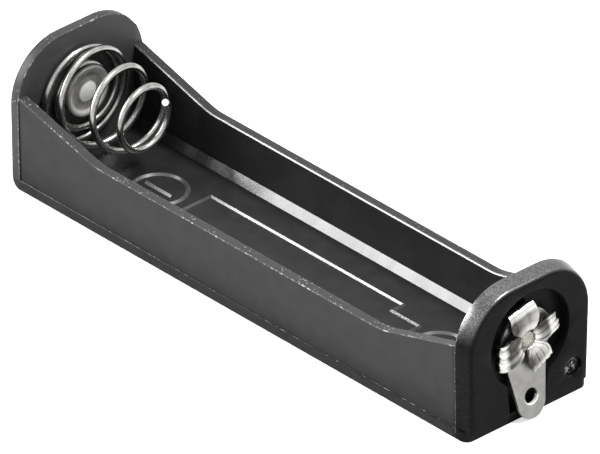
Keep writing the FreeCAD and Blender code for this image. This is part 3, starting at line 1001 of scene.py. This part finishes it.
@dataclass
class ContactSpring:
    """The conical contact spring: a wire that spirals out on the wall, then climbs and narrows.

    Its middle sinks by base_drop from the rivet's axis as it winds out, and ends tip_lift over it. The
    climb starts over its share ease_in and stops over its share ease_out. The last bend_turns are bent
    inwards and outwards, as the cutter leaves them.
    """

    wall: float = SPRING_WALL
    axis_height: float = RIVET_HEIGHT
    wire: float = 0.57 * MM
    clearance: float = 0.05 * MM
    length: float = 7.75 * MM
    rivet_radius: float = 1.1 * MM
    base_radius: float = 4.12 * MM
    tip_radius: float = 2.5 * MM
    taper_power: float = 1.5
    base_drop: float = 0.3 * MM
    tip_lift: float = 0.2 * MM
    spiral_turns: float = 1.75
    base_turns: float = 0.25
    active_turns: float = 2.98
    end_turns: float = 0.47
    start_angle: float = -140.0
    ease_in: float = 0.25
    ease_out: float = 0.22
    bend_turns: float = 0.07
    bend_outwards: float = 0.3 * MM
    bend_inwards: float = 0.3 * MM
    bend_longer: float = 0.018
    points_per_turn: int = 72
    points_round_wire: int = 24

    def build(self) -> bpy.types.Object:
        """Build the spring and dress it.

        Returns:
            The finished piece.
        """
        spring = self.wound_wire()
        # The cut ends get the near-white coat: bare metal, painted bright as a highlight
        spring.data.materials.append(CUT_METAL_AND_HIGHLIGHT.material())
        for face in spring.data.polygons:
            face.material_index = int(len(face.vertices) > 4)
        smooth(spring.data, angle=50.0)
        dress(spring, Body.SPRING, Slot.WIRE, "contact_spring")
        travel = next(joint for joint in frame["joints"] if joint["name"] == "spring_press")["range_m"][1]
        tip_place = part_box("contact_spring")[1].x
        working = tip_place - self.wall
        1.0 - travel / working
        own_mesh(spring)
        return spring

    def wound_wire(self) -> bpy.types.Object:
        """The wire's round section, swept along its path."""
        recipe = Recipe("conical_contact_spring")
        total = self.spiral_turns + self.base_turns + self.active_turns + self.end_turns + self.bend_longer
        steps = math.ceil(total * self.points_per_turn)
        wire = recipe.size("Wire radius", self.wire / 2)
        base = recipe.size("Base radius", self.base_radius)
        tip = recipe.size("Tip radius", self.tip_radius)
        power = recipe.size("Taper power", self.taper_power)
        spiral = recipe.size("Spiral turns", self.spiral_turns)
        active = recipe.size("Active turns", self.active_turns)
        start = recipe.size("Start angle", math.radians(self.start_angle))
        turn_count = recipe.size("All turns", total)
        line = recipe.node("GeometryNodeMeshLine", Count=steps + 1)
        index = Term(recipe.tree, recipe.node("GeometryNodeInputIndex").outputs[0])
        turns = index / steps * turn_count
        wound = (turns / spiral).held(0.0, 1.0)
        share = ((turns - spiral - self.base_turns) / active).held(0.0, 1.0)
        bent = ((turns - (turn_count - self.bend_turns)) / self.bend_turns).held(0.0, 1.0)
        rise = self.rise(share)
        inner = self.rivet_radius + 2 * self.clearance + wire
        radius = inner + (base - inner) * wound - (base - tip) * share ** power
        radius = radius - self.bend_inwards * bent * bent
        angle = start + turns * math.tau
        seat = self.clearance + wire
        along = self.wall + seat + (self.length - wire - seat) * rise + self.bend_outwards * bent * bent
        centre = self.axis_height + (self.base_drop + self.tip_lift) * rise - self.base_drop * wound
        place = recipe.place(along, radius * angle.apply("COSINE"), centre + radius * angle.apply("SINE"))
        moved = recipe.node("GeometryNodeSetPosition", Geometry=line.outputs[0], Position=place)
        curve = recipe.node("GeometryNodeMeshToCurve", Mesh=moved.outputs[0])
        section = recipe.node("GeometryNodeCurvePrimitiveCircle", Resolution=self.points_round_wire,
                              Radius=wire)
        swept = recipe.node("GeometryNodeCurveToMesh", Curve=curve.outputs[0],
                            Profile_Curve=section.outputs[0], Fill_Caps=True)
        return recipe.make(swept.outputs[0], BRIGHT_WIRE.material())

    def rise(self, share: Term) -> Term:
        """How far the coil has climbed at a share of its climb, starting and stopping gently."""
        speed = 1.0 / (1.0 - self.ease_in / 2 - self.ease_out / 2)
        slow_start = (self.ease_in - share).apply("MAXIMUM", 0.0)
        slow_end = (share - (1.0 - self.ease_out)).apply("MAXIMUM", 0.0)
        return speed * (
            share - self.ease_in / 2
            + slow_start * slow_start / (2 * self.ease_in)
            - slow_end * slow_end / (2 * self.ease_out)
        )


# Pairs of a share of a petal's length and how dark its painted shade is there; low values leave a painted
# highlight
PETAL_SHADE = ((0.0, 0.6), (0.25, 0.2), (0.4, 0.8), (0.62, 0.9), (0.74, 0.0), (0.9, 0.35), (1.0, 1.2))


def past(share: float, start: float) -> float:
    """How far a share is past a start, from 0 there to 1 at a share of 1."""
    return max(share - start, 0.0) / (1.0 - start)


def quarter_turn(steps: int) -> list[float]:
    """Even angles from 0 to a quarter of a turn, in radians."""
    return [math.radians(90.0 * step / steps) for step in range(steps + 1)]


@dataclass(frozen=True)
class Petal:
    """One torn strip of a rivet's tube, rolled outwards over the lug.

    Attributes:
        angle: Where it points round the axis, in degrees.
        reach: How far from the axis it ends.
        width: Its width where it is flat.
        crest: How high it stands over the lug.
        curl: How far its end is rolled down, in degrees.
        roll: Radius of that roll.
        ribs: Depth of its folds.
        rib_count: How close its folds are.
        torn: How uneven its end is.
        slant: How much further one of its sides reaches.
        inset: How far its root leans into the bore.
        shade: How dark its painted shade is, as a factor on the shade of all petals.
        streaks: How dark the painted shade in the valleys of its folds is.
        turned: How much darker one of its sides is painted, as painted shade.
        seed: Which random folds it has.
    """

    angle: float
    reach: float = 3.1 * MM
    width: float = 2.0 * MM
    crest: float = 0.75 * MM
    curl: float = 150.0
    roll: float = 0.3 * MM
    ribs: float = 0.03 * MM
    rib_count: float = 9.0
    torn: float = 0.1 * MM
    slant: float = 0.0
    inset: float = 0.0
    shade: float = 0.7
    streaks: float = 0.4
    turned: float = 0.0
    seed: int = 1


@dataclass
class Rivet:
    """A tubular rivet whose mouth is torn into petals that are rolled over the lug.

    The sizes are along its own axis, with 0 at the lug's outer face and positive outwards.

    Attributes:
        name: The piece's name.
        node: The CAD node that it stands for.
        seat: Where the lug's outer face lies along X.
        facing: Which way the rivet looks, as a turn about Z in radians.
        grip: How much metal and wall it clamps.
        petals: Its petals.
        head: The outline of its head, from the axis outwards.
        axis_height: Height of its axis.
        radius: Radius of its tube.
        bore: Radius of its bore.
        floor: How thick the tube's closed end is.
        metal: Thickness of the petals.
        lip_start: Where the tube starts to narrow to its mouth.
        lip_end: Where the mouth ends.
        lip_narrowing: How much narrower the mouth is.
        root: Where the petals start.
        tube_angle: Half of the part of the tube's round that a petal takes, in degrees.
        flare_share: How much of its crest a petal gains by its first bend.
        opening: The shares of its length between which a petal flattens out.
        tip_narrowing: How much narrower a petal is at its end, as a share.
        folds: How much closer the fine folds are than the coarse ones.
        tears: How close the coarse and the fine tears of its end are.
        torn_edge: Rounding of the petals' edges.
        steps_round: Steps round the turned part.
        steps_along: Steps along a petal.
        steps_across: Steps across a petal.
    """

    name: str
    node: str
    seat: float
    facing: float
    grip: float
    petals: tuple[Petal, ...]
    head: tuple[tuple[float, float], ...]
    axis_height: float = RIVET_HEIGHT
    radius: float = 1.1 * MM
    bore: float = 0.8 * MM
    floor: float = 0.25 * MM
    metal: float = 0.26 * MM
    lip_start: float = 0.12 * MM
    lip_end: float = 0.2 * MM
    lip_narrowing: float = 0.1 * MM
    root: float = -0.3 * MM
    tube_angle: float = 44.0
    flare_share: float = 0.9
    opening: tuple[float, float] = (0.2, 0.7)
    tip_narrowing: float = 0.12
    folds: float = 2.1
    tears: tuple[float, float] = (7.0, 19.0)
    torn_edge: float = 0.05 * MM
    steps_round: int = 96
    steps_along: int = 72
    steps_across: int = 41

    def build(self, material: bpy.types.Material, head_material: bpy.types.Material) -> bpy.types.Object:
        """Build the rivet and dress it.

        Args:
            material: The finish of its rolled mouth.
            head_material: The finish of its head and shank.

        Returns:
            The finished piece.
        """
        parts = [self.turned_part(head_material)]
        parts += [self.petal_part(petal, material) for petal in self.petals]
        rivet = join(self.name, parts)
        smooth(rivet.data, angle=50.0)
        rivet.data.transform(self.seated())
        rivet.data.update()
        return dress(rivet, Body.HOLDER, Slot.RIVET, self.node)

    def seated(self) -> Matrix:
        """The move from the rivet's own axis to its seat in the frame."""
        return Matrix.Translation((self.seat, 0.0, self.axis_height)) @ Matrix.Rotation(self.facing, 4, "Z")

    def turned_part(self, material: bpy.types.Material) -> bpy.types.Object:
        """The head and the hollow shank, as one turned shell."""
        outline = [
            *self.head,
            (-self.grip, self.radius),
            (self.lip_start, self.radius),
            (self.lip_end, self.radius - self.lip_narrowing),
            (self.lip_start, self.bore),
            (self.floor - self.grip, self.bore),
            (self.floor - self.grip, 0.0),
        ]
        turns = np.arange(self.steps_round) * math.tau / self.steps_round
        rows = np.stack([
            np.stack([np.full_like(turns, x), r * np.cos(turns), r * np.sin(turns)], axis=1)
            for x, r in outline
        ])
        mesh = grid_mesh(f"{self.name}_turned", rows, closed=True)
        point_outwards(mesh)
        return add_object(mesh.name, mesh, material)

    def petal_part(self, petal: Petal, material: bpy.types.Material) -> bpy.types.Object:
        """One petal, as a thick strip swept out of the bore and rolled at its end."""
        side = np.linspace(-1.0, 1.0, self.steps_across)
        arc = side * math.radians(self.tube_angle)
        rng = np.random.default_rng(petal.seed)
        fold, fine_fold, tear, fine_tear = rng.uniform(0.0, math.tau, 4)
        tears, fine_tears = (side * count for count in self.tears)
        torn = petal.torn * (np.sin(tears + tear) + 0.5 * np.sin(fine_tears + fine_tear))
        folds = side * petal.rib_count
        ribs = petal.ribs * (np.sin(folds + fold) + 0.5 * np.sin(self.folds * folds + fine_fold))
        valleys = np.clip(-ribs / petal.ribs, 0.0, 1.0)
        rows = np.zeros((self.steps_along, self.steps_across, 3))
        painted_shade = np.zeros((self.steps_along, self.steps_across))
        for i, (axial, radial, share) in enumerate(self.petal_path(petal)):
            opened = min(2.0 * share, 1.0)
            spread = np.interp(share, self.opening, (0.0, 1.0)) ** 1.5
            half = petal.width / 2 * (1.0 - self.tip_narrowing * past(share, 0.75))
            rows[i, :, 0] = axial + ribs * opened
            rows[i, :, 1] = radial * (np.cos(arc) * (1 - spread) + spread)
            rows[i, :, 1] += (petal.slant * side + torn * past(share, 0.6)) * share
            rows[i, :, 2] = radial * np.sin(arc) * (1 - spread) + side * half * spread
            # Painted shade and highlight: along the petal, in its fold valleys and on one side
            painted_shade[i] = petal.shade * np.interp(share, *zip(*PETAL_SHADE))
            painted_shade[i] += petal.streaks * valleys * opened
            painted_shade[i] += petal.turned * side * (1.0 - abs(2.0 * share - 1.0))
        mesh = grid_mesh(f"{self.name}_petal", rows)
        painted_shade_values = mesh.attributes.new(PAINTED_SHADE, "FLOAT", "POINT").data
        painted_shade_values.foreach_set("value", np.clip(painted_shade, 0.0, 1.0).reshape(-1))
        piece = add_object(mesh.name, mesh, material)
        wall = piece.modifiers.new("metal", "SOLIDIFY")
        wall.thickness = self.metal
        wall.offset = 0.0
        edge = piece.modifiers.new("torn_edge", "BEVEL")
        edge.width = self.torn_edge
        edge.segments = 2
        edge.limit_method = "ANGLE"
        edge.angle_limit = math.radians(60.0)
        bake_modifiers(piece)
        turn = petal.angle if math.cos(self.facing) > 0 else 180.0 - petal.angle
        piece.data.transform(Matrix.Rotation(math.radians(turn), 4, "X"))
        return piece

    def petal_path(self, petal: Petal) -> list[tuple[float, float, float]]:
        """The middle line of a petal as points of (axial, radial, share of its length)."""
        lift = self.metal / 2
        flare = self.flare_share * (petal.crest - lift)
        start = (self.radius + self.bore) / 2
        points: list[tuple[float, float]] = [(self.root, start)]
        for turn in quarter_turn(12):
            lean = petal.inset * math.sin(2 * turn)
            points.append((flare * math.sin(turn), start - lean + flare * (1 - math.cos(turn))))
        top, flat_start = points[-1]
        flat_end = petal.reach - petal.roll - lift
        points += [(top, flat_start + (flat_end - flat_start) * step / 5) for step in range(1, 6)]
        for step in range(1, 17):
            turn = math.radians(petal.curl * step / 16)
            points.append((top - petal.roll * (1 - math.cos(turn)), flat_end + petal.roll * math.sin(turn)))
        line = np.array(points)
        lengths = np.concatenate([[0.0], np.cumsum(np.linalg.norm(np.diff(line, axis=0), axis=1))])
        wanted = np.linspace(0.0, lengths[-1], self.steps_along)
        axial = np.interp(wanted, lengths, line[:, 0])
        radial = np.interp(wanted, lengths, line[:, 1])
        return list(zip(axial, radial, wanted / lengths[-1]))


@dataclass
class SolderLug:
    """A stamped solder lug: the CAD strip with the soft edges that stamping and plating leave."""

    name: str
    node: str
    eased: float = 0.09 * MM
    hole_height: float = 1.89 * MM
    hole_reach: float = 0.79 * MM

    def build(self, material: bpy.types.Material) -> bpy.types.Object:
        """Build the lug and dress it.

        Args:
            material: Its finish.

        Returns:
            The finished piece.
        """
        lug = cleaned_copy(self.node, self.name, material)
        # The hole's lower wall gets the near-white coat: a painted highlight for the bright backdrop seen
        # through the hole
        lug.data.materials.append(CUT_METAL_AND_HIGHLIGHT.material())
        ease_edges(lug, self.eased, angle=50.0)
        for face in lug.data.polygons:
            across = math.hypot(face.center.y, face.center.z - self.hole_height)
            lower_wall = face.normal.z > 0.1 and abs(face.normal.x) < 0.9
            face.material_index = int(across < self.hole_reach and lower_wall)
        smooth(lug.data)
        return dress(lug, Body.HOLDER, Slot.LUG, self.node)


# The studio


@dataclass
class PhotographCamera:
    """The camera of the photograph: far off, so that its view is almost parallel."""

    azimuth: float = 47.0479
    elevation: float = 31.4486
    roll: float = 0.1898
    distance: float = 1.6
    aim_right: float = 0.1404 * MM
    aim_up: float = 4.5194 * MM
    lens: float = 1226.9
    sensor: float = 36.0

    def build(self) -> None:
        """Put the camera in the scene and use it."""
        a, e, r = (math.radians(x) for x in (self.azimuth, self.elevation, self.roll))
        back = Vector((math.sin(a) * math.cos(e), -math.cos(a) * math.cos(e), math.sin(e)))
        level = Vector((math.cos(a), math.sin(a), 0.0))
        upright = back.cross(level)
        right = math.cos(r) * level + math.sin(r) * upright
        up = -math.sin(r) * level + math.cos(r) * upright
        data = bpy.data.cameras.new("photograph_camera")
        data.lens = self.lens
        data.sensor_width = self.sensor
        data.clip_start, data.clip_end = 0.05, 100.0
        camera = bpy.data.objects.new("photograph_camera", data)
        bpy.context.scene.collection.objects.link(camera)
        turned = Matrix((right, up, back)).transposed().to_4x4()
        place = right * self.aim_right + up * self.aim_up + back * self.distance
        camera.matrix_world = Matrix.Translation(place) @ turned
        bpy.context.scene.camera = camera


@dataclass(frozen=True)
class Softbox:
    """A square area lamp that faces the tray."""

    name: str
    direction: tuple[float, float, float]
    side: float
    power: float
    distance: float = 0.4

    def build(self) -> None:
        """Put the lamp in the scene."""
        data = bpy.data.lights.new(self.name, "AREA")
        data.shape = "SQUARE"
        data.size = self.side
        data.energy = self.power
        lamp = bpy.data.objects.new(self.name, data)
        bpy.context.scene.collection.objects.link(lamp)
        towards = Vector(self.direction).normalized()
        turned = towards.to_track_quat("Z", "Y").to_matrix().to_4x4()
        lamp.matrix_world = Matrix.Translation(towards * self.distance) @ turned


@dataclass
class Studio:
    """A white table and backdrop under soft lamps."""

    floor_colour: tuple[float, float, float] = (0.84, 0.84, 0.84)
    floor_half: float = 3.0
    sky_strength: float = 0.29
    glow: float = 0.62
    lamps: tuple[Softbox, ...] = (
        Softbox("key_softbox", (-0.62, -0.60, 0.47), 0.28, 2.2),
        Softbox("top_softbox", (0.29, 0.24, 0.93), 0.08, 1.7),
    )

    def build(self) -> None:
        """Set the colour handling, the world, the lamps and the floor."""
        bpy.context.scene.view_settings.view_transform = "Standard"
        self.world()
        for lamp in self.lamps:
            lamp.build()
        self.floor()

    def world(self) -> None:
        """A soft even sky for light, and a white backdrop where the camera, metal or glass shows it."""
        world = bpy.data.worlds.new("studio_world")
        bpy.context.scene.world = world
        world.use_nodes = True
        tree = world.node_tree
        tree.nodes.clear()
        rays = tree.nodes.new("ShaderNodeLightPath")
        white = tree.nodes.new("ShaderNodeBackground")
        soft = tree.nodes.new("ShaderNodeBackground")
        soft.inputs["Strength"].default_value = self.sky_strength
        for node in (white, soft):
            node.inputs["Color"].default_value = (1.0, 1.0, 1.0, 1.0)
        mix = tree.nodes.new("ShaderNodeMixShader")
        out = tree.nodes.new("ShaderNodeOutputWorld")
        seen = Term(tree, rays.outputs["Is Camera Ray"])
        for kind in ("Is Glossy Ray", "Is Transmission Ray"):
            seen = seen.apply("MAXIMUM", Term(tree, rays.outputs[kind]))
        tree.links.new(seen.socket, mix.inputs[0])
        tree.links.new(soft.outputs[0], mix.inputs[1])
        tree.links.new(white.outputs[0], mix.inputs[2])
        tree.links.new(mix.outputs[0], out.inputs[0])

    def floor(self) -> None:
        """A plain pale table that keeps the tray's soft shadow."""
        half = self.floor_half
        corners = [(-half, -half, 0), (half, -half, 0), (half, half, 0), (-half, half, 0)]
        mesh = bpy.data.meshes.new("table")
        mesh.from_pydata(corners, [], [(0, 1, 2, 3)])
        material = bpy.data.materials.new("pale_table")
        material.use_nodes = True
        tree = material.node_tree
        tree.nodes.clear()
        rays = tree.nodes.new("ShaderNodeLightPath")
        matt = tree.nodes.new("ShaderNodeBsdfDiffuse")
        matt.inputs["Color"].default_value = (*self.floor_colour, 1.0)
        glow = tree.nodes.new("ShaderNodeEmission")
        total = tree.nodes.new("ShaderNodeAddShader")
        out = tree.nodes.new("ShaderNodeOutputMaterial")
        strength = Term(tree, rays.outputs["Is Camera Ray"]) * self.glow
        tree.links.new(strength.socket, glow.inputs["Strength"])
        tree.links.new(matt.outputs[0], total.inputs[0])
        tree.links.new(glow.outputs[0], total.inputs[1])
        tree.links.new(total.outputs[0], out.inputs[0])
        add_object("table", mesh, material)


PETALS = (
    Petal(106.0, reach=3.3 * MM, width=2.7 * MM, crest=0.62 * MM, curl=195.0, roll=0.32 * MM,
          ribs=0.01 * MM, rib_count=6.0, torn=0.03 * MM, slant=0.1 * MM, inset=0.1 * MM,
          shade=0.9, streaks=0.1, turned=0.35, seed=3),
    Petal(18.0, reach=3.05 * MM, width=1.7 * MM, crest=0.7 * MM, curl=75.0, roll=0.3 * MM,
          ribs=0.045 * MM, torn=0.14 * MM, inset=0.3 * MM,
          shade=1.0, streaks=0.6, turned=0.3, seed=5),
    Petal(190.0, reach=3.25 * MM, width=2.4 * MM, crest=0.8 * MM, curl=135.0, roll=0.42 * MM,
          ribs=0.035 * MM, torn=0.06 * MM, slant=0.2 * MM, inset=0.1 * MM,
          shade=1.05, streaks=0.45, turned=-0.35, seed=7),
    Petal(298.0, reach=2.95 * MM, width=2.1 * MM, crest=0.85 * MM, curl=170.0, roll=0.36 * MM,
          ribs=0.05 * MM, rib_count=13.0, torn=0.06 * MM, inset=0.4 * MM,
          shade=0.75, streaks=0.6, turned=-0.45, seed=11),
)


def button_head(grip: float) -> tuple[tuple[float, float], ...]:
    """The outline of the domed contact button, from its middle to its underside's rim."""
    height, radius, flat = 0.6 * MM, 2.1 * MM, 1.1 * MM
    points = [(-grip - height, 0.0)]
    for turn in quarter_turn(12):
        points.append((-grip - height * math.cos(turn), flat + (radius - flat) * math.sin(turn)))
    return tuple(points)


def flange_head(grip: float) -> tuple[tuple[float, float], ...]:
    """The outline of the dished flange that clamps the spring, with a low dome in its middle."""
    height, radius, edge = 0.28 * MM, 2.2 * MM, 0.12 * MM
    dish, depth = 1.75 * MM, 0.15 * MM
    boss, boss_height, boss_steps = 1.05 * MM, 0.15 * MM, 8
    top = -grip - height
    points = []
    for step, turn in enumerate(quarter_turn(boss_steps)):
        points.append((top + depth - boss_height * math.cos(turn), boss * step / boss_steps))
    points += [(top + depth, dish), (top, dish + depth * 0.9)]
    for turn in quarter_turn(6):
        points.append((top + edge * (1 - math.cos(turn)), radius - edge + edge * math.sin(turn)))
    points.append((-grip, radius))
    return tuple(points)


def main() -> None:
    """Build every sub-assembly in order, then the studio and the camera."""
    logging.basicConfig(level=logging.INFO, format="%(name)s: %(message)s")
    Tray().build()
    ContactSpring().build()
    rivet_metal = BRIGHT_RIVET.material()
    lug_metal = DULL_LUG.material()
    clamp_seat = SPRING_WALL - THIN_WALL - LUG_METAL
    clamp_grip = LUG_METAL + THIN_WALL + CLAMPED_WIRE
    Rivet("positive_star_rivet", "positive_rivet", CONTACT_SEAT, 0.0, CONTACT_GRIP, PETALS,
          button_head(CONTACT_GRIP)).build(rivet_metal, rivet_metal)
    Rivet("negative_star_rivet", "negative_rivet", clamp_seat, math.pi, clamp_grip, PETALS,
          flange_head(clamp_grip)).build(rivet_metal, BRIGHT_BOSS.material())
    SolderLug("positive_lug", "positive_solder_lug").build(lug_metal)
    SolderLug("negative_lug", "negative_solder_lug").build(lug_metal)
    Studio().build()
    PhotographCamera().build()


if __name__ == "__main__":
    main()
